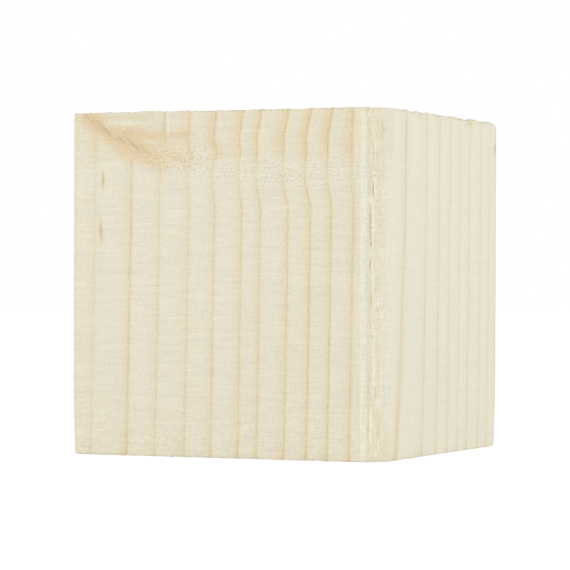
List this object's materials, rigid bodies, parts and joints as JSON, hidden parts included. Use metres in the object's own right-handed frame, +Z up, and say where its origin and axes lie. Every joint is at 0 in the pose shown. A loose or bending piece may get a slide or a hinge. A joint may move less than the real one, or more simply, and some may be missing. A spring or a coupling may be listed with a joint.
{
  "type": "wooden cube",
  "caption": "Nearly cubic block of pale planed softwood with eased long edges, a torn front edge and saw-cut ends, used as a riser, spacer or small stand",
  "frame": {"origin": "middle of the bottom end, on the surface that the block stands on", "axes": "+Z up along the grain, -Y out of the front face with the spike knot at its top left, +X out of the right face; the torn rounded edge is between the front and right faces"},
  "size_m": [0.0874, 0.0874, 0.089],
  "materials": {
    "planed_softwood": "bare planed softwood, matt"
  },
  "bodies": {
    "root": {"wooden_cube": "planed_softwood"}
  },
  "joints": []
}
